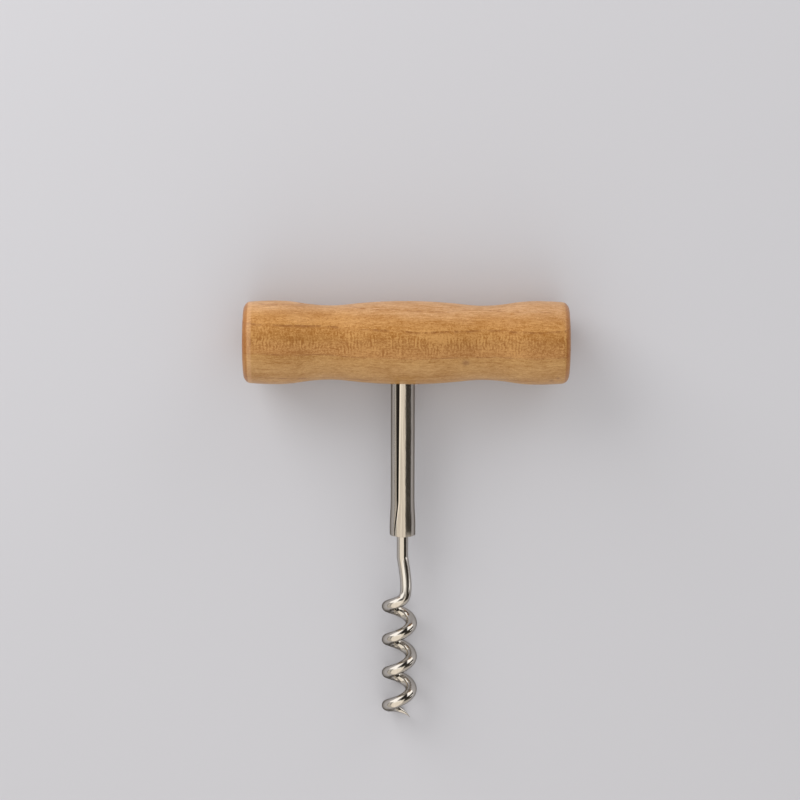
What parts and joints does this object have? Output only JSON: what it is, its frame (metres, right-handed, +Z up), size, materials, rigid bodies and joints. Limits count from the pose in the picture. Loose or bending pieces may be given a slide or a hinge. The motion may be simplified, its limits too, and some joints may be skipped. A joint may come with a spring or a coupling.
{
  "type": "corkscrew with wooden cross handle",
  "caption": "Turned hardwood cross handle on a plain wire shank, with a rolled steel sleeve below the handle and a right-hand wire worm ground to a point, for pulling corks.",
  "frame": {"origin": "middle of the whole corkscrew's box, on the surface that it lies on", "axes": "+X along the handle, +Y from the worm's point to the handle, +Z up, away from the surface"},
  "size_m": [0.1074, 0.1452, 0.0277],
  "materials": {
    "lacquered_wood": "satin lacquer over pale hardwood",
    "sleeve_plate": "nickel plated rolled sheet, fine draw marks",
    "wire_plate": "bright nickel plated wire"
  },
  "bodies": {
    "root": {"handle": "lacquered_wood", "sleeve": "sleeve_plate", "worm": "wire_plate"}
  },
  "joints": []
}
